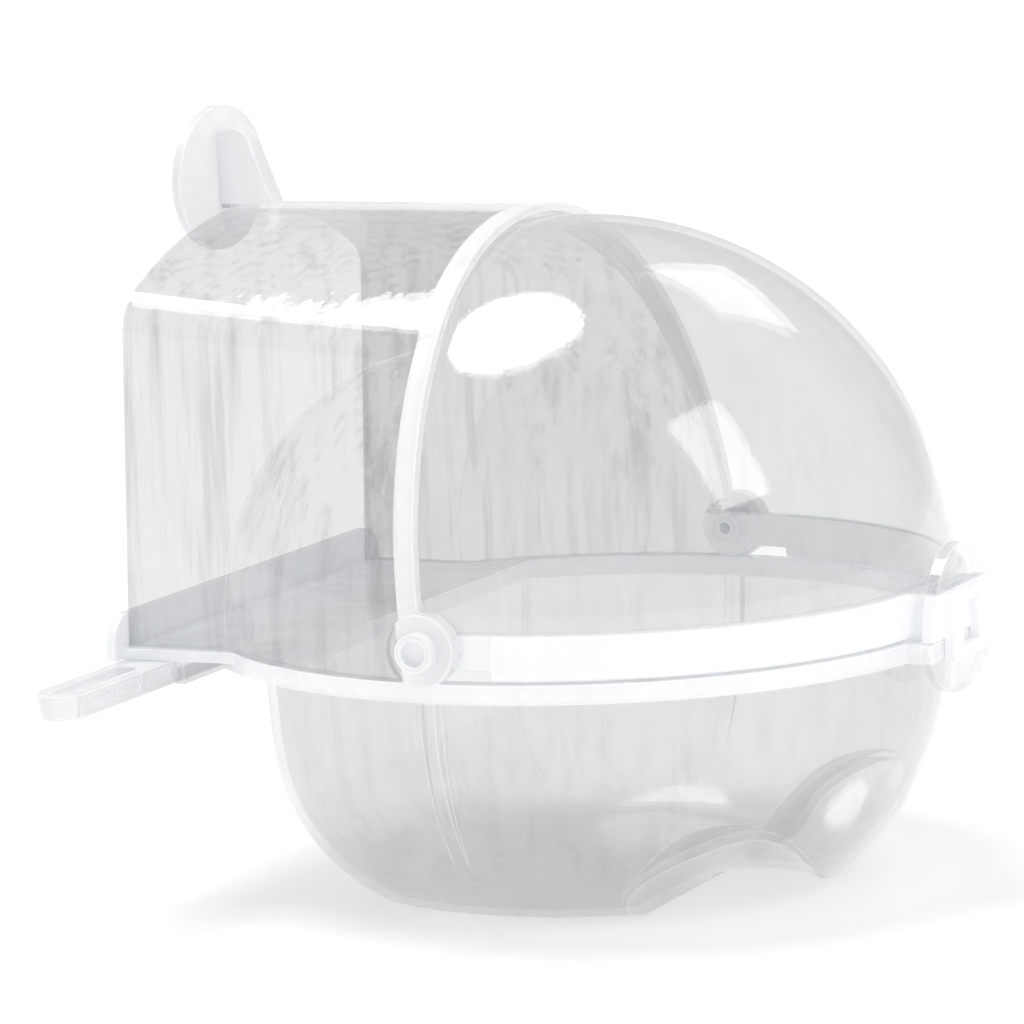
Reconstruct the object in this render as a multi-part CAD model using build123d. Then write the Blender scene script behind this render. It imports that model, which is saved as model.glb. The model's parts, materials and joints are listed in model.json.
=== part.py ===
from build123d import *
import math
import os

# External clear-plastic bird bath: a round bowl with a tunnel hood behind it, a pivoting
# dome visor in front, and two arms that slide out sideways to hook on the cage door frame.
# Millimetres.  Z = 0 is the flat foot of the bowl, the visor's pivot axis runs along Y
# straight above the origin, and the visor faces +X.

# --- shared levels and radii ---
PIVOT_HEIGHT = 58.5          # pivot axis above the foot
SKIN = 1.6                   # moulded wall thickness
RIM_TOP = 51.9               # top of the bowl rim and of the deck behind it
RIM_BOTTOM = 48.0            # underside of the rim band
RIM_RADIUS = 76.3            # outside of the rim band
FIT_GAP = 0.3                # air between parts that move past each other

# --- bowl ---
# outside of the wall: radius, height, and the direction it faces there in degrees
BOWL_FOOT = (47.0, 0.0, -90)
BOWL_FOOT_EDGE = (52.5, 1.5, -50)
BOWL_CURVE = (66.0, 18.0, -29)
BOWL_WAIST = (72.3, 36.5, -9)
BOWL_RIM = (74.0, 51.9, -6)
BOWL_REAR_X = -43.0          # flat rear wall of the bowl
BOWL_REAR_ROUNDING = 28.0    # between the rear wall and the foot
DECK_REAR_X = -79.0
DECK_HALF_WIDTH = 55.5
DECK_THICKNESS = 2.2

# --- finger scoops moulded up into the foot from both sides ---
SCOOP_REAR_X = 27.0          # rear side of the scoops
# distance from the middle plane: half width and height of the scoop there
SCOOP_SECTIONS = {
    0.0: (14.0, 2.5),
    20.0: (16.0, 10.0),
    45.0: (20.0, 16.0),
    76.0: (27.0, 18.0),
}

# --- gusset under each pivot ---
GUSSET_THICKNESS = 3.2
GUSSET_TOP_Y = 76.0          # how far out the rib stands at the rim
GUSSET_MIDDLE = (72.8, 30.0)
GUSSET_TIP = (61.6, 11.5)    # where it runs out on the wall

# --- hood ---
HOOD_RADIUS = 76.6           # outside of the spherical cheeks
HOOD_REAR_X = -76.7          # rear edge of the hood at pivot height
HOOD_REAR_TILT = 1.8         # degrees the rear edge leans forward
TUNNEL_HALF_WIDTH = 53.5
ROOF_HEIGHT = 76.3           # top of the roof above the pivot axis
ROOF_REAR_ARC = 106.0        # radius of the roof across the rear opening
ROOF_CORNER = 9.0            # rounding between roof and sides
ARCH_TILT = 6.4              # degrees the front arch leans back
COLLAR_WIDTH = 4.2
COLLAR_RADIUS = 77.2

# --- visor ---
VISOR_RADIUS = 74.6          # outside of the dome
VISOR_OVERLAP = 4.0          # degrees the dome runs on behind the arch
DOME_BOTTOM = 54.5           # lower edge of the dome beside the pivots
BEAD_START_X = 13.5
BEAD_BOTTOM = 52.2
BEAD_TOP = 61.3
BEAD_INNER = 72.0
BEAD_OUTER = 76.4
BEAD_ROUNDING = 2.1

# --- pivots ---
HOOD_EAR_DIAMETER = 14.2
HOOD_EAR_INNER = 74.9
HOOD_EAR_OUTER = 78.6
VISOR_EAR_DIAMETER = 12.4
VISOR_EAR_INNER = 72.4
VISOR_BOSS_DIAMETER = 10.4
VISOR_BOSS_INNER = 71.4
PIN_DIAMETER = 4.0
PIN_HOLE = 4.12
PIN_HEAD_DIAMETER = 7.7
PIN_HEAD_HEIGHT = 2.6
PIN_DIMPLE_DIAMETER = 5.2
PIN_DIMPLE_DEPTH = 1.6
PIN_TAIL_DIAMETER = 6.2
PIN_TAIL_HEIGHT = 1.5
PIN_BORE = 2.6
PIN_BORE_DEPTH = 6.0

# --- latch ---
LATCH_REAR_X = 70.0
LATCH_EAR_HALF_WIDTH = 15.5
LATCH_EAR_TOP = 69.6
LATCH_BRIDGE_HALF_WIDTH = 12.0
LATCH_TONGUE_HALF_WIDTH = 9.5
LATCH_TONGUE_BOTTOM = 47.5
LATCH_TONGUE_TOP = 60.5
LATCH_TONGUE_FRONT = 82.2
LATCH_WINDOW_HALF_WIDTH = 4.2
LATCH_WINDOW = (50.0, 58.6)
LATCH_EAR_REAR = 77.9
LATCH_EAR_FRONT = 80.3
LATCH_TAB_HALF_WIDTH = 17.0
LATCH_TAB_BOTTOM = 40.0
LATCH_TAB_REAR = 77.9
LATCH_TAB_FRONT = 80.0

# --- rear plate, arm guide and arms ---
REAR_PLATE_HALF_WIDTH = 59.0
REAR_PLATE_TOP = 58.6
REAR_PLATE_FRONT_X = -77.0
REAR_PLATE_CORNER = 6.0
ARM_REAR_X = -77.5
ARM_FRONT_X = -67.0
ARM_HEIGHT = 5.0
ARM_UNDERCUT = 1.0           # the dovetailed sides lean in by this much
ARM_REACH = 94.0             # tip of the arm from the middle plane, drawn out
ARM_LENGTH = 62.0
ARM_TRAVEL = 30.0
ARM_SLOT_WIDTH = 5.0
ARM_SLOT_LENGTH = 30.0
ARM_PANEL_DEPTH = 0.8
ARM_PANEL_LENGTH = 9.5
ARM_PANEL_PITCH = 12.0
GUIDE_HALF_LENGTH = 52.0
GUIDE_WALL = 1.2

# --- top hook ---
HOOK_HALF_WIDTH = 18.5
HOOK_HALF_HEIGHT = 14.8
HOOK_CENTRE_Z = 140.2
HOOK_THICKNESS = 2.0
HOOK_REAR_X = -81.4
FIN_THICKNESS = 5.0
FIN_TIP = (-75.8, 146.2)
FIN_TIP_RADIUS = 4.2
FIN_TOE_X = -66.4


def box(x0, x1, y0, y1, z0, z1):
    """Axis-aligned block between the given limits."""
    block = Box(x1 - x0, y1 - y0, z1 - z0)
    return Pos((x0 + x1) / 2, (y0 + y1) / 2, (z0 + z1) / 2) * block


def pivot_disc(diameter, side, inner, outer):
    """Disc on the pivot axis, between two distances from the middle plane."""
    disc = Rot(X=90) * Cylinder(diameter / 2, outer - inner)
    return Pos(0, side * (inner + outer) / 2, PIVOT_HEIGHT) * disc


def ball(radius):
    """Sphere centred on the middle of the pivot axis."""
    return Pos(0, 0, PIVOT_HEIGHT) * Sphere(radius)


def arch_frame(extra_degrees=0.0):
    """Location on the pivot axis whose YZ plane leans back with the arch."""
    return Pos(0, 0, PIVOT_HEIGHT) * Rot(Y=-(ARCH_TILT + extra_degrees))


def half_oval_plate(half_width, flat_z, tip_z, x0, x1):
    """Plate facing +X, straight along flat_z and a half ellipse out to tip_z."""
    height = abs(tip_z - flat_z)
    oval = Ellipse(half_width, height)
    keep = Pos(0, (tip_z - flat_z) / 2) * Rectangle(2 * half_width, height)
    plane = Plane(origin=(x0, 0, flat_z), x_dir=(0, 1, 0), z_dir=(1, 0, 0))
    return extrude(plane * (oval & keep), amount=x1 - x0)


# ---------------------------------------------------------------- bowl

def wall_point(station, inset):
    """Point on the bowl wall, moved inwards square to the wall."""
    radius, height, facing = station
    angle = math.radians(facing)
    return (radius - inset * math.cos(angle), height - inset * math.sin(angle))


def bowl_block(inset):
    """Bowl form as a solid: round in front, flat behind, with a rounded foot."""
    foot, edge, curve, waist = (
        wall_point(station, inset)
        for station in (BOWL_FOOT, BOWL_FOOT_EDGE, BOWL_CURVE, BOWL_WAIST)
    )
    top = (BOWL_RIM[0] - inset, RIM_TOP)
    half = make_face([
        Polyline((0, top[1]), (0, foot[1]), foot, edge),
        ThreePointArc(edge, curve, waist),
        Polyline(waist, top, (0, top[1])),
    ])
    block = revolve(Plane.XZ * half, Axis.Z)
    rear = BOWL_REAR_X + inset
    side = Pos(rear + 100, inset + 100) * Rectangle(200, 200)
    corner = side.vertices().sort_by(lambda v: v.X + v.Y)[0]
    side = fillet(corner, BOWL_REAR_ROUNDING - inset)
    return block & extrude(Plane.XZ * side, amount=100, both=True)


def scoops(grow):
    """Both finger scoops as one solid, widening from the middle out past the wall."""
    mirrored = {-distance: size for distance, size in SCOOP_SECTIONS.items()}
    sections = []
    for y, (half_width, height) in sorted({**mirrored, **SCOOP_SECTIONS}.items()):
        plane = Plane(origin=(SCOOP_REAR_X + half_width, y, 0), x_dir=(1, 0, 0),
                      z_dir=(0, -1, 0))
        sections.append(plane * Ellipse(half_width + grow, height + grow))
    return loft(sections)


def gusset(side):
    """Thin upright rib that runs down the wall from under the pivot."""
    top = (side * GUSSET_TOP_Y, RIM_BOTTOM + 1)
    tip = (side * GUSSET_TIP[0], GUSSET_TIP[1])
    outline = make_face([
        ThreePointArc(top, (side * GUSSET_MIDDLE[0], GUSSET_MIDDLE[1]), tip),
        Polyline(tip, (side * 50, GUSSET_TIP[1]), (side * 50, top[1]), top),
    ])
    plane = Plane(origin=(-GUSSET_THICKNESS / 2, 0, 0), x_dir=(0, 1, 0), z_dir=(1, 0, 0))
    return extrude(plane * outline, amount=GUSSET_THICKNESS)


def rear_plate():
    """Upright plate across the rear of the deck that stands behind the door opening."""
    bottom = RIM_TOP - DECK_THICKNESS
    plate = box(DECK_REAR_X, REAR_PLATE_FRONT_X, -REAR_PLATE_HALF_WIDTH, REAR_PLATE_HALF_WIDTH,
                bottom, REAR_PLATE_TOP)
    top_corners = plate.edges().filter_by(Axis.X).group_by(Axis.Z)[-1]
    return fillet(top_corners, REAR_PLATE_CORNER)


def arm_section(y, grow):
    """Dovetail section of an arm, wide at the top, grown by a clearance."""
    top = RIM_TOP - DECK_THICKNESS - FIT_GAP
    bottom = top - ARM_HEIGHT
    outline = Polyline(
        (ARM_REAR_X - grow, top + grow),
        (ARM_FRONT_X + grow, top + grow),
        (ARM_FRONT_X - ARM_UNDERCUT + grow, bottom),
        (ARM_REAR_X + ARM_UNDERCUT - grow, bottom),
        close=True,
    )
    return Plane(origin=(0, y, 0), x_dir=(1, 0, 0), z_dir=(0, -1, 0)) * make_face(outline)


def arm_guide():
    """Dovetail guide under the deck that both arms slide in."""
    top = RIM_TOP - DECK_THICKNESS
    bottom = top - FIT_GAP - ARM_HEIGHT
    block = box(DECK_REAR_X, ARM_FRONT_X + FIT_GAP + GUIDE_WALL,
                -GUIDE_HALF_LENGTH, GUIDE_HALF_LENGTH, bottom, top)
    return block - extrude(arm_section(0, FIT_GAP), amount=100, both=True)


def latch_tab():
    """Finger tab hanging from the front of the rim."""
    tab = half_oval_plate(LATCH_TAB_HALF_WIDTH, RIM_TOP, LATCH_TAB_BOTTOM,
                          LATCH_TAB_REAR, LATCH_TAB_FRONT)
    root = box(LATCH_REAR_X, LATCH_TAB_REAR, -LATCH_TAB_HALF_WIDTH + 1,
               LATCH_TAB_HALF_WIDTH - 1, RIM_BOTTOM, RIM_TOP)
    return tab + root


def make_bowl():
    outer = bowl_block(0) - scoops(0)
    inner = bowl_block(SKIN) - scoops(SKIN)
    for side in (-1, 1):
        outer += gusset(side)
    band = Pos(0, 0, (RIM_TOP + RIM_BOTTOM) / 2) * Cylinder(RIM_RADIUS, RIM_TOP - RIM_BOTTOM)
    outer += band - box(-100, ARM_FRONT_X + FIT_GAP, -200, 200, 0, RIM_TOP - DECK_THICKNESS)
    outer += box(DECK_REAR_X, 0, -DECK_HALF_WIDTH, DECK_HALF_WIDTH,
                 RIM_TOP - DECK_THICKNESS, RIM_TOP)
    outer += latch_tab()
    outer += rear_plate()
    outer += arm_guide()
    return outer - inner


# ---------------------------------------------------------------- hood

def roof_section(x, roof_z, arc, inset):
    """Wide block under an arched top, drawn across the tunnel at one X."""
    outline = Pos(0, roof_z - arc) * Circle(arc - inset)
    outline &= Pos(0, RIM_TOP + 45) * Rectangle(130, 110)
    return Plane(origin=(x, 0, 0), x_dir=(0, 1, 0), z_dir=(1, 0, 0)) * outline


def tunnel(inset):
    """Tunnel as a solid: upright sides under a roof that rounds up towards the arch."""
    rear_x = HOOD_REAR_X - 2 - inset
    rear = roof_section(rear_x, PIVOT_HEIGHT + ROOF_HEIGHT, ROOF_REAR_ARC, inset)
    front = roof_section(2, PIVOT_HEIGHT + HOOD_RADIUS, HOOD_RADIUS, inset)
    half_width = TUNNEL_HALF_WIDTH - inset
    block = loft([rear, front], ruled=True) & box(-200, 200, -half_width, half_width, 0, 200)
    corners = block.edges().filter_by(
        lambda e: abs(abs(e.center().Y) - half_width) < 0.01 and e.center().Z > 90
        and e.bounding_box().size.X > 40)
    return fillet(corners, ROOF_CORNER - inset)


def collar():
    """Raised band round the front edge of the hood."""
    band = Cylinder(COLLAR_RADIUS, COLLAR_WIDTH)
    band = arch_frame() * Pos(-COLLAR_WIDTH / 2, 0, 0) * Rot(Y=90) * band
    return band - box(-200, 200, -200, 200, -200, PIVOT_HEIGHT)


def top_hook():
    """Oval hook plate behind the roof, held off the rear edge by a round-nosed fin."""
    plane = Plane(origin=(HOOK_REAR_X, 0, HOOK_CENTRE_Z), x_dir=(0, 1, 0), z_dir=(1, 0, 0))
    plate = extrude(plane * Ellipse(HOOK_HALF_WIDTH, HOOK_HALF_HEIGHT), amount=HOOK_THICKNESS)
    root_z = PIVOT_HEIGHT + ROOF_HEIGHT - 0.8
    nose = Pos(*FIN_TIP) * Circle(FIN_TIP_RADIUS)
    face_x = HOOK_REAR_X + HOOK_THICKNESS
    root = Polyline((face_x, FIN_TIP[1]), (face_x, root_z), (FIN_TOE_X, root_z))
    outline = make_hull([*nose.edges(), *root.edges()])
    fin_plane = Plane(origin=(0, FIN_THICKNESS / 2, 0), x_dir=(1, 0, 0), z_dir=(0, -1, 0))
    fin = extrude(fin_plane * outline, amount=FIN_THICKNESS)
    return plate + fin


def make_hood():
    cheeks = ball(HOOD_RADIUS)
    front = arch_frame() * Pos(100, 0, 0) * Box(200, 400, 400)
    rear = Pos(HOOD_REAR_X, 0, PIVOT_HEIGHT) * Rot(Y=HOOD_REAR_TILT) * Pos(-50, 0, 0)
    hood = cheeks + tunnel(0) - front - rear * Box(100, 400, 400)
    hood += collar()
    for side in (-1, 1):
        hood += pivot_disc(HOOD_EAR_DIAMETER, side, HOOD_EAR_INNER, HOOD_EAR_OUTER)
    hood -= ball(HOOD_RADIUS - SKIN)
    hood -= tunnel(SKIN)
    hood -= box(-200, 200, -200, 200, -200, RIM_TOP) - box(
        -HOOD_EAR_DIAMETER, HOOD_EAR_DIAMETER, -200, -RIM_RADIUS - 0.1, -200, 200) - box(
        -HOOD_EAR_DIAMETER, HOOD_EAR_DIAMETER, RIM_RADIUS + 0.1, 200, -200, 200)
    hood += top_hook()
    for side in (-1, 1):
        hood -= pivot_disc(PIN_HOLE, side, 60, 90)
    return hood


# ---------------------------------------------------------------- visor

def bead():
    """Thick rounded rim along the lower edge of the visor."""
    middle = (BEAD_INNER + BEAD_OUTER) / 2
    section = RectangleRounded(BEAD_OUTER - BEAD_INNER, BEAD_TOP - BEAD_BOTTOM, BEAD_ROUNDING)
    plane = Plane(origin=(middle, 0, (BEAD_TOP + BEAD_BOTTOM) / 2), x_dir=(1, 0, 0),
                  z_dir=(0, -1, 0))
    ring = revolve(plane * section, Axis.Z)
    return ring - box(-200, BEAD_START_X, -200, 200, 0, 200)


def latch_ear():
    """Lifting ear on the front of the visor with the catch tongue below it."""
    ear = half_oval_plate(LATCH_EAR_HALF_WIDTH, BEAD_BOTTOM, LATCH_EAR_TOP,
                          LATCH_EAR_REAR, LATCH_EAR_FRONT)
    bridge = box(LATCH_REAR_X + 3, LATCH_EAR_REAR, -LATCH_BRIDGE_HALF_WIDTH,
                 LATCH_BRIDGE_HALF_WIDTH, BEAD_BOTTOM, BEAD_TOP)
    tongue = box(LATCH_EAR_FRONT, LATCH_TONGUE_FRONT, -LATCH_TONGUE_HALF_WIDTH,
                 LATCH_TONGUE_HALF_WIDTH, LATCH_TONGUE_BOTTOM, LATCH_TONGUE_TOP)
    window = box(LATCH_EAR_FRONT, LATCH_TONGUE_FRONT, -LATCH_WINDOW_HALF_WIDTH,
                 LATCH_WINDOW_HALF_WIDTH, *LATCH_WINDOW)
    return ear + bridge + (tongue - window)


def make_visor():
    behind = arch_frame(VISOR_OVERLAP) * Pos(-100, 0, 0) * Box(200, 400, 400)
    below = box(-200, 200, -200, 200, -200, DOME_BOTTOM)
    visor = ball(VISOR_RADIUS) - ball(VISOR_RADIUS - SKIN) - behind - below
    for side in (-1, 1):
        visor += pivot_disc(VISOR_EAR_DIAMETER, side, VISOR_EAR_INNER, VISOR_RADIUS)
        visor += pivot_disc(VISOR_BOSS_DIAMETER, side, VISOR_BOSS_INNER, VISOR_RADIUS)
    visor += bead()
    visor += latch_ear()
    for side in (-1, 1):
        visor -= pivot_disc(PIN_HOLE, side, 60, 90)
    return visor


# ---------------------------------------------------------------- pins and arms

def make_pin(side):
    """Headed pivot pin pushed through the hood's ear and the visor's ear."""
    tail = VISOR_BOSS_INNER - FIT_GAP
    head = HOOD_EAR_OUTER + PIN_HEAD_HEIGHT
    pin = pivot_disc(PIN_DIAMETER, side, tail - PIN_TAIL_HEIGHT, HOOD_EAR_OUTER)
    pin += pivot_disc(PIN_HEAD_DIAMETER, side, HOOD_EAR_OUTER, head)
    pin += pivot_disc(PIN_TAIL_DIAMETER, side, tail - PIN_TAIL_HEIGHT, tail)
    pin -= pivot_disc(PIN_DIMPLE_DIAMETER, side, head - PIN_DIMPLE_DEPTH, head)
    pin -= pivot_disc(PIN_BORE, side, 60, tail - PIN_TAIL_HEIGHT + PIN_BORE_DEPTH)
    return pin


def make_arm(side, drawn_in=0.0):
    """Flat looped arm with a round outer end and shallow panels in its long faces."""
    top = RIM_TOP - DECK_THICKNESS - FIT_GAP
    bottom = top - ARM_HEIGHT
    middle_x = (ARM_REAR_X + ARM_FRONT_X) / 2
    half_width = (ARM_FRONT_X - ARM_REAR_X) / 2
    tip_centre = ARM_REACH - half_width
    inner_end = ARM_REACH - ARM_LENGTH
    arm = extrude(arm_section(inner_end, 0), amount=inner_end - tip_centre)
    tip = Cone(half_width - ARM_UNDERCUT, half_width, ARM_HEIGHT)
    arm += Pos(middle_x, tip_centre, (top + bottom) / 2) * tip
    slot = SlotOverall(ARM_SLOT_LENGTH, ARM_SLOT_WIDTH, rotation=90)
    slot_y = tip_centre - ARM_SLOT_LENGTH / 2 + ARM_SLOT_WIDTH / 2
    arm -= extrude(Pos(middle_x, slot_y, bottom - 1) * slot, amount=ARM_HEIGHT + 2)
    for index in range(3):
        y1 = tip_centre - 1 - index * ARM_PANEL_PITCH
        for face in (ARM_REAR_X, ARM_FRONT_X):
            arm -= box(face - ARM_PANEL_DEPTH, face + ARM_PANEL_DEPTH, y1 - ARM_PANEL_LENGTH,
                       y1, bottom + 1.6, top - 1)
    arm = Pos(0, -drawn_in, 0) * arm
    return arm if side > 0 else mirror(arm, Plane.XZ)


def main():
    parts = {
        "bowl": make_bowl(),
        "rear_hood": make_hood(),
        "visor": make_visor(),
        "right_pivot_pin": make_pin(-1),
        "left_pivot_pin": make_pin(1),
        "right_hook_arm": make_arm(-1),
        "left_hook_arm": make_arm(1, ARM_TRAVEL),
    }
    os.makedirs("parts", exist_ok=True)
    for name, solid in parts.items():
        solid.label = name
        export_step(solid, f"parts/{name}.step")
        print(name, len(solid.solids()), round(solid.volume), solid.is_valid)


main()
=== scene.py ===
import json
import math

import bpy
from mathutils import Matrix, Vector


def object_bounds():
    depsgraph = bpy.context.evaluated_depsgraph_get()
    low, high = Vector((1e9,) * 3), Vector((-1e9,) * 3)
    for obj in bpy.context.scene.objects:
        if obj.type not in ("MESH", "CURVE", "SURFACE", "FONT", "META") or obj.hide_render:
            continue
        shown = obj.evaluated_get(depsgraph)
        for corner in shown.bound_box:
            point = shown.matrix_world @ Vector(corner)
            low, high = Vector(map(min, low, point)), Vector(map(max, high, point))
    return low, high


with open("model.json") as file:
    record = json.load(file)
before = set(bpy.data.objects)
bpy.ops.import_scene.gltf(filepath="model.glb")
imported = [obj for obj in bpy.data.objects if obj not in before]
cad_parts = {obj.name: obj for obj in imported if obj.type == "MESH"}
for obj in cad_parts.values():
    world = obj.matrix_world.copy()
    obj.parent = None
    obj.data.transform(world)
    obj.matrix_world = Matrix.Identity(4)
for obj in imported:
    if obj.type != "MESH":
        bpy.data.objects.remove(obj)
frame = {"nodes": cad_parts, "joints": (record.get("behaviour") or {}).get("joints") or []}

# Clear hanging bird bath: every moulding is the CAD node with a clear plastic material.
# Metres, in the CAD frame: +Z up, the visor faces +X, its pivot axis runs along Y.

# --- places taken from the frame ---
CAD_LOW, CAD_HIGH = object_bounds()
HINGE = next(joint for joint in frame["joints"] if joint["name"] == "visor_hinge")
PIVOT = Vector(HINGE["pos_m"])
RIM_BOTTOM = 0.048                      # underside of the bowl's rim band
BEAD_TOP = 0.0613                       # top of the visor's bead
ROOF_TOP = 0.1348                       # top of the hood's roof
ARCH_TILT = math.radians(6.4)           # the hood's front arch leans back by this
COLLAR_WIDTH = 0.0042
HOOK_FRONT = -0.0785                    # the hook plate lies behind this X
UP = Vector((0, 0, 1))
REARWARDS = Vector((-1, 0, 0))

# --- camera ---
CAMERA_YAW = math.radians(25.49)
CAMERA_PITCH = math.radians(8.91)
CAMERA_ROLL = math.radians(-2.21)
CAMERA_FROM_PIVOT = Vector((0.49556, -1.07430, 0.20058))
CAMERA_LENS = 208.9
CAMERA_SENSOR = 36.0

# --- clear plastic ---
WHITE = (1.0, 1.0, 1.0, 1.0)
MILK_COLOUR = (0.975, 0.98, 0.985, 1.0)
THICK_COLOUR = (0.975, 0.985, 0.99, 1.0)
PAINTED_GLOW_COLOUR = (0.90, 0.965, 1.0, 1.0)  # painted glow: light the plastic gives off by itself, standing in for light carried along inside it
# strength of that painted glow
PAINTED_GLOW_STRENGTH = 0.08
THICK_IOR = 1.4
MIRRORED = 0.055                        # share of light a wall mirrors when met head on
GRAZING_POWER = 5.0                     # how late that share rises towards grazing views
LIMB_MILK = 0.05                        # milk added where a thin wall is seen edge on
LIMB_POWER = 3.0
PAINTED_EDGE_WIDTH = 0.0007                     # width of the painted highlight line along a moulded edge
PAINTED_EDGE_TURN = (0.995, 0.85)               # cosine of the edge's turn where it starts and peaks
EDGE_SAMPLES = 2
# milk painted onto sharp edges as a highlight, in thin walls and in thick plastic
THIN_PAINTED_EDGE_HIGHLIGHT = 0.6
THICK_PAINTED_EDGE_HIGHLIGHT = 0.7
HAZE_SCALE = 60.0
HAZE_SPREAD = 0.15                      # unevenness of the haze in thin walls
MILK_SCALE = 80.0
MILK_SPREAD = 0.06                      # unevenness of the milk in thick plastic
MILK_ROUGHNESS = 0.3
ZONE_BLEND = 0.0004                     # half width of the step between two looks
GRAIN_SCALE = 900.0                     # fine grain on top of a surface's ripple
GRAIN_SHARE = 0.02
CLOUD_RANGE = (0.3, 0.7)                # noise values that a cloud runs between
STREAK_STRETCH = (1, 1, 0.07)           # draws the darker streaks out along Z
STREAK_SCALE = 230.0
STREAK_RANGE = (0.48, 0.72)

# a quality that varies softly over a surface: noise scale, lowest and highest value
THIN_ROUGHNESS = (90.0, 0.02, 0.05)
THICK_ROUGHNESS = (120.0, 0.03, 0.08)
PAPER_SHADE = (3.0, 0.985, 1.0)

# ripple in a piece's surface: stretch of the noise, its scale, and its depth
BOWL_WAVE = ((1, 1, 1), 22.0, 0.0012)
HOOD_WAVE = ((1.6, 1, 0.25), 34.0, 0.0011)
VISOR_WAVE = ((1, 1, 1), 16.0, 0.0008)
SMALL_WAVE = ((1, 1, 1), 150.0, 0.00004)

# thin wall: tint of each surface, haze, and depth of the upright darker streaks
BOWL_WALL = ((0.904, 0.904, 0.906), 0.05, 0.05)
BOWL_BAND = ((0.96, 0.97, 0.98), 0.62, 0.0)
HOOD_WALL = ((0.848, 0.850, 0.853), 0.03, 0.16)
VISOR_WALL = ((0.916, 0.917, 0.918), 0.03, 0.02)

# share of milk in thick plastic
HOOD_MILK = 0.62                        # collar, fin and hook plate
BEAD_MILK = 0.92                        # the visor's bead, ears and latch
PIN_MILK = 0.75
ARM_MILK = 0.60

# --- studio ---
FLOOR_SIZE = 30.0
FLOOR_GAP = 0.0002                      # air between the foot and the floor
FLOOR_COLOUR = (0.83, 0.83, 0.83)
FLOOR_GLOW = 0.21                       # light coming up through the shooting table
WORLD_COLOUR = (0.995, 0.998, 1.0, 1.0)
WORLD_STRENGTH = 0.72
CLEAR_LAYERS = 32                       # see-through surfaces a ray may pass
TRANSMISSION_BOUNCES = 10
ALL_BOUNCES = 12
KEY_DIRECTION = (-95, 73)               # azimuth and elevation of the round key light
KEY_ANGLE = math.radians(30)
KEY_STRENGTH = 1.1
KEY_DISTANCE = 1.0                      # any will do, since its rays run parallel

# name: direction from the pivot (azimuth, elevation), distance, width, height, radiance
SOFTBOXES = {
    "right_box": (80, 40, 1.6, 0.5, 0.8, 2.2),
    "rear_box": (170, 45, 1.7, 0.6, 0.6, 1.6),
}


# ------------------------------------------------------------------ node helpers

class Shader:
    """One material's node tree, with short ways to add and join nodes."""

    def __init__(self, name):
        self.material = bpy.data.materials.new(name)
        self.material.use_nodes = True
        self.tree = self.material.node_tree
        self.tree.nodes.clear()

    def add(self, kind, inputs=None, **settings):
        """Adds a node; inputs are values or output sockets, by name or number."""
        node = self.tree.nodes.new("ShaderNode" + kind)
        for key, value in settings.items():
            setattr(node, key, value)
        for key, value in (inputs or {}).items():
            if isinstance(value, bpy.types.NodeSocket):
                self.tree.links.new(value, node.inputs[key])
            else:
                node.inputs[key].default_value = value
        return node

    def math(self, operation, first, second=0.0, clamp=False):
        node = self.add("Math", {0: first, 1: second}, operation=operation, use_clamp=clamp)
        return node.outputs[0]

    def dot(self, first, second):
        node = self.add("VectorMath", {0: first, 1: second}, operation="DOT_PRODUCT")
        return node.outputs["Value"]

    def scaled(self, vector, factor):
        node = self.add("VectorMath", {0: vector, "Scale": factor}, operation="SCALE")
        return node.outputs[0]

    def spread(self, value, low, high, to_low=0.0, to_high=1.0):
        """Value between low and high, eased to the range from to_low to to_high."""
        node = self.add("MapRange", {"Value": value, "From Min": low, "From Max": high,
                                     "To Min": to_low, "To Max": to_high},
                        interpolation_type="SMOOTHSTEP")
        return node.outputs[0]

    def noise(self, place, scale, detail, roughness=0.5):
        node = self.add("TexNoise", {"Vector": place, "Scale": scale, "Detail": detail,
                                     "Roughness": roughness})
        return node.outputs["Fac"]

    def mix(self, factor, first, second):
        return self.add("MixShader", {0: factor, 1: first.outputs[0], 2: second.outputs[0]})

    def finish(self, shader):
        self.add("OutputMaterial", {"Surface": shader.outputs[0]})
        return self.material


def place(shader, stretch=None):
    """Coordinates fixed to the piece, so that they move with it; scaled if asked."""
    here = shader.add("TexCoord").outputs["Object"]
    if stretch is None:
        return here
    return shader.add("Mapping", {"Vector": here, "Scale": stretch}).outputs[0]


def zone(shader, normal, offset):
    """1 on the far side of a plane, 0 on the near side."""
    depth = shader.dot(place(shader), normal)
    return shader.spread(depth, offset - ZONE_BLEND, offset + ZONE_BLEND)


def ripple(shader, stretch, scale, depth):
    """Shallow waviness that the mould leaves in a clear wall, with a fine grain on it."""
    waves = shader.noise(place(shader, stretch), scale, 3.0)
    grain = shader.noise(place(shader), GRAIN_SCALE, 2.0)
    height = shader.math("ADD", waves, shader.math("MULTIPLY", grain, GRAIN_SHARE))
    bump = shader.add("Bump", {"Height": height, "Strength": 1.0, "Distance": depth})
    return bump.outputs[0]


def cloud(shader, scale, low, high):
    """Soft uneven value between low and high."""
    noise = shader.noise(place(shader), scale, 4.0, 0.6)
    return shader.spread(noise, *CLOUD_RANGE, low, high)


def streaks(shader, depth):
    """Upright darker streaks in the tint: a value that dips from 1 by up to the given depth."""
    flow = shader.noise(place(shader, STREAK_STRETCH), STREAK_SCALE, 4.0, 0.65)
    return shader.spread(flow, *STREAK_RANGE, 1.0, 1.0 - depth)


def painted_edge_highlight(shader):
    """Mask of a painted highlight: 1 along sharp moulded edges, where clear plastic gathers
    light, and 0 elsewhere.
    """
    rounded = shader.add("Bevel", {"Radius": PAINTED_EDGE_WIDTH}, samples=EDGE_SAMPLES)
    flat = shader.add("NewGeometry").outputs["Normal"]
    return shader.spread(shader.dot(rounded.outputs[0], flat), *PAINTED_EDGE_TURN)


# ------------------------------------------------------------------ clear plastic

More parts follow.
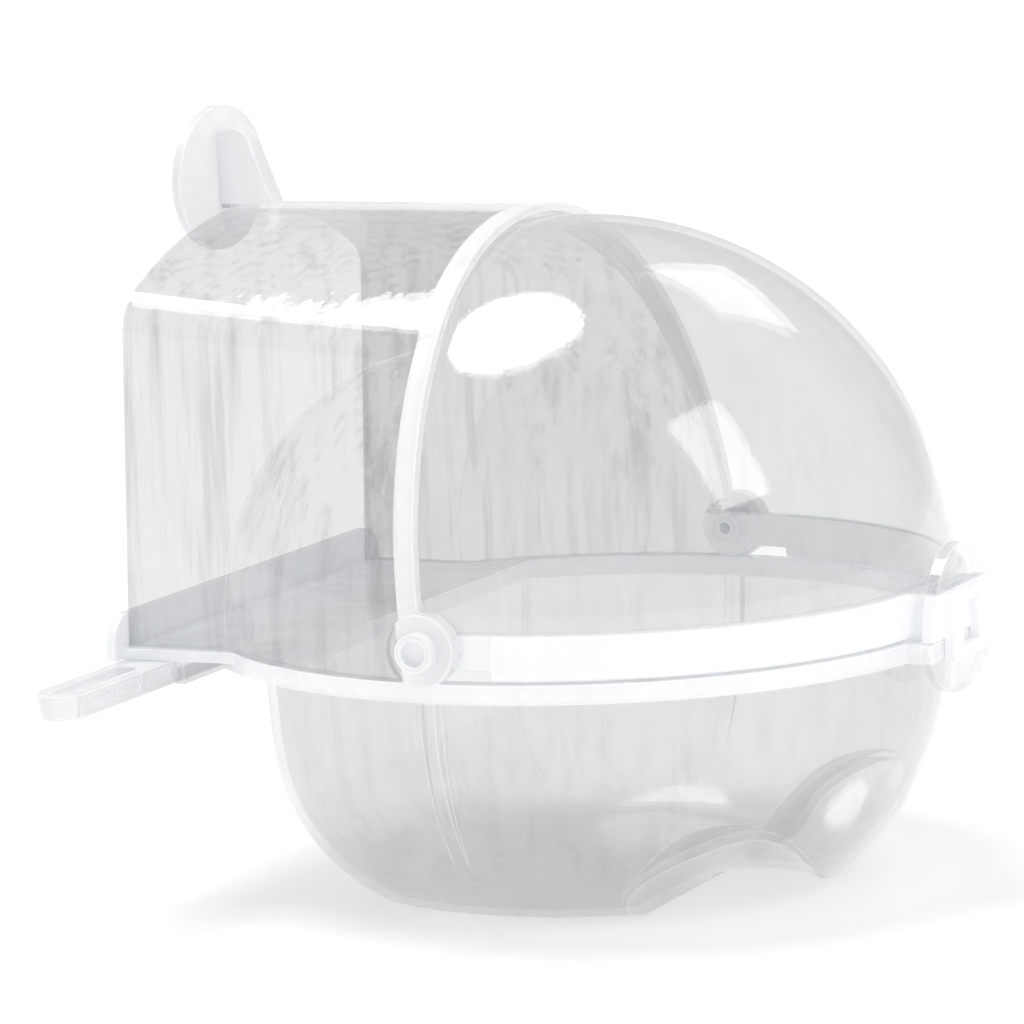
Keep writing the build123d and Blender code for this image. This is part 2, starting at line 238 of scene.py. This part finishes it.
def milky(shader, normal):
    """The white light that the plastic scatters inside itself, plus a painted glow that it gives
    off by itself.
    """
    return shader.add("BsdfPrincipled", {
        "Base Color": MILK_COLOUR,
        "Roughness": MILK_ROUGHNESS,
        "Normal": normal,
        # painted glow, the same whatever lamps shine on the plastic
        "Emission Color": PAINTED_GLOW_COLOUR,
        "Emission Strength": PAINTED_GLOW_STRENGTH,
    })


def thin_wall(shader, tint, haze, streak, normal):
    """A clear wall seen through: tinted, faintly milky, painted lighter along its edges, and
    glossy by its angle.
    """
    facing = shader.add("LayerWeight", {"Blend": 0.5, "Normal": normal}).outputs["Facing"]
    milk = shader.math("MULTIPLY", shader.math("POWER", facing, LIMB_POWER), LIMB_MILK)
    uneven = cloud(shader, HAZE_SCALE, (1 - HAZE_SPREAD) * haze, (1 + HAZE_SPREAD) * haze)
    milk = shader.math("ADD", milk, uneven)
    # painted highlight: sharp edges made milky white
    painted_edge = shader.math("MULTIPLY", painted_edge_highlight(shader), THIN_PAINTED_EDGE_HIGHLIGHT)
    milk = shader.math("ADD", milk, painted_edge, clamp=True)
    clear = shader.add("BsdfTransparent", {"Color": shader.scaled(tint, streaks(shader, streak))})
    body = shader.mix(milk, clear, milky(shader, normal))
    gloss = shader.add("BsdfAnisotropic", {"Color": WHITE, "Normal": normal,
                                           "Roughness": cloud(shader, *THIN_ROUGHNESS)})
    grazing = shader.math("POWER", facing, GRAZING_POWER)
    mirrored = shader.math("MULTIPLY", grazing, 1.0 - MIRRORED)
    return shader.mix(shader.math("ADD", mirrored, MIRRORED), body, gloss)


def thick_plastic(shader, milk, normal):
    """Solid clear plastic that bends what is behind it, with some milk in it, painted lighter
    along its edges.
    """
    clear = shader.add("BsdfPrincipled", {
        "Base Color": THICK_COLOUR,
        "Roughness": cloud(shader, *THICK_ROUGHNESS),
        "IOR": THICK_IOR,
        "Transmission Weight": 1.0,
        "Normal": normal,
    })
    uneven = cloud(shader, MILK_SCALE, (1 - MILK_SPREAD) * milk, (1 + MILK_SPREAD) * milk)
    # painted highlight: sharp edges made milky white
    painted_edge = shader.math("MULTIPLY", painted_edge_highlight(shader), THICK_PAINTED_EDGE_HIGHLIGHT)
    share = shader.math("ADD", painted_edge, uneven, clamp=True)
    return shader.mix(share, clear, milky(shader, normal))


def moulding(name, wave, wall, planes, beyond):
    """Clear moulding with a thin wall, and another look beyond any of the planes.

    beyond is the function that makes that look, followed by its values.
    """
    shader = Shader(name)
    normal = ripple(shader, *wave)
    mask = 0.0
    for plane in planes:
        mask = shader.math("MAXIMUM", mask, zone(shader, *plane))
    make, *values = beyond
    return shader.finish(shader.mix(mask, thin_wall(shader, *wall, normal),
                                    make(shader, *values, normal)))


def solid_clear(name, milk):
    """Small solid clear piece."""
    shader = Shader(name)
    return shader.finish(thick_plastic(shader, milk, ripple(shader, *SMALL_WAVE)))


def dress(node, material):
    """Gives a CAD node its material."""
    mesh = frame["nodes"][node].data
    mesh.materials.clear()
    mesh.materials.append(material)


def dress_all():
    forward = Vector((math.cos(ARCH_TILT), 0, math.sin(ARCH_TILT)))
    rim = [(UP, RIM_BOTTOM)]
    bead = [(-UP, -BEAD_TOP)]
    fin_collar_hook = [
        (UP, ROOF_TOP),
        (forward, forward.dot(PIVOT) - COLLAR_WIDTH),
        (REARWARDS, -HOOK_FRONT),
    ]
    dress("bowl", moulding("clear_bowl", BOWL_WAVE, BOWL_WALL, rim, (thin_wall, *BOWL_BAND)))
    dress("rear_hood", moulding("clear_hood", HOOD_WAVE, HOOD_WALL, fin_collar_hook,
                                (thick_plastic, HOOD_MILK)))
    dress("visor", moulding("clear_visor", VISOR_WAVE, VISOR_WALL, bead,
                            (thick_plastic, BEAD_MILK)))
    pin = solid_clear("clear_pin", PIN_MILK)
    arm = solid_clear("clear_arm", ARM_MILK)
    for side in ("right", "left"):
        dress(f"{side}_pivot_pin", pin)
        dress(f"{side}_hook_arm", arm)


# ------------------------------------------------------------------ studio

def floor_material():
    """Pale matt sheet, lit from below as well, with a barely visible unevenness."""
    shader = Shader("pale_paper")
    colour = shader.scaled(FLOOR_COLOUR, cloud(shader, *PAPER_SHADE))
    paper = shader.add("BsdfPrincipled", {
        "Base Color": colour,
        "Roughness": 0.9,
        "Specular IOR Level": 0.1,
        "Emission Color": WHITE,
        "Emission Strength": FLOOR_GLOW,
    })
    return shader.finish(paper)


def add_floor():
    mesh = bpy.data.meshes.new("floor")
    half = FLOOR_SIZE / 2
    level = CAD_LOW.z - FLOOR_GAP
    corners = [(-half, -half, level), (half, -half, level), (half, half, level),
               (-half, half, level)]
    mesh.from_pydata(corners, [], [(0, 1, 2, 3)])
    mesh.materials.append(floor_material())
    floor = bpy.data.objects.new("floor", mesh)
    bpy.context.scene.collection.objects.link(floor)


def add_world():
    world = bpy.data.worlds.new("studio")
    world.use_nodes = True
    background = world.node_tree.nodes["Background"]
    background.inputs["Color"].default_value = WORLD_COLOUR
    background.inputs["Strength"].default_value = WORLD_STRENGTH
    bpy.context.scene.world = world


def direction(azimuth, elevation):
    """Unit vector; azimuth 0 is towards -Y and 90 towards +X."""
    a, e = math.radians(azimuth), math.radians(elevation)
    return Vector((math.sin(a) * math.cos(e), -math.cos(a) * math.cos(e), math.sin(e)))


def add_lamp(light, away, distance):
    """Hangs a light in a direction from the pivot, pointing back at it."""
    lamp = bpy.data.objects.new(light.name, light)
    lamp.location = PIVOT + away * distance
    lamp.rotation_euler = away.to_track_quat("Z", "Y").to_euler()
    lamp.visible_camera = False
    bpy.context.scene.collection.objects.link(lamp)


def add_key_light():
    """A round soft light that is far enough off to light the whole floor evenly."""
    light = bpy.data.lights.new("key_light", "SUN")
    light.angle = KEY_ANGLE
    light.energy = KEY_STRENGTH
    add_lamp(light, direction(*KEY_DIRECTION), KEY_DISTANCE)


def add_softbox(name, azimuth, elevation, distance, width, height, radiance):
    light = bpy.data.lights.new(name, "AREA")
    light.shape = "RECTANGLE"
    light.size = width
    light.size_y = height
    light.energy = radiance * width * height * math.pi
    add_lamp(light, direction(azimuth, elevation), distance)


def add_camera():
    """Camera at the fitted place, turned by yaw and pitch and then rolled about its view."""
    yaw, pitch, roll = CAMERA_YAW, CAMERA_PITCH, CAMERA_ROLL
    ahead = Vector((-math.sin(yaw) * math.cos(pitch), math.cos(yaw) * math.cos(pitch),
                    -math.sin(pitch)))
    level = Vector((math.cos(yaw), math.sin(yaw), 0))
    above = level.cross(ahead)
    right = math.cos(roll) * level + math.sin(roll) * above
    up = math.cos(roll) * above - math.sin(roll) * level
    data = bpy.data.cameras.new("camera")
    data.sensor_width = CAMERA_SENSOR
    data.lens = CAMERA_LENS
    camera = bpy.data.objects.new("camera", data)
    camera.matrix_world = Matrix((right, up, -ahead)).transposed().to_4x4()
    camera.location = PIVOT + CAMERA_FROM_PIVOT
    bpy.context.scene.collection.objects.link(camera)
    bpy.context.scene.camera = camera


def set_up_view():
    """Plain tones, and enough bounces for light to get through every wall."""
    scene = bpy.context.scene
    scene.view_settings.view_transform = "Standard"
    scene.cycles.transparent_max_bounces = CLEAR_LAYERS
    scene.cycles.transmission_bounces = TRANSMISSION_BOUNCES
    scene.cycles.max_bounces = ALL_BOUNCES


def add_studio():
    set_up_view()
    add_camera()
    add_floor()
    add_world()
    add_key_light()
    for name, values in SOFTBOXES.items():
        add_softbox(name, *values)


dress_all()
add_studio()
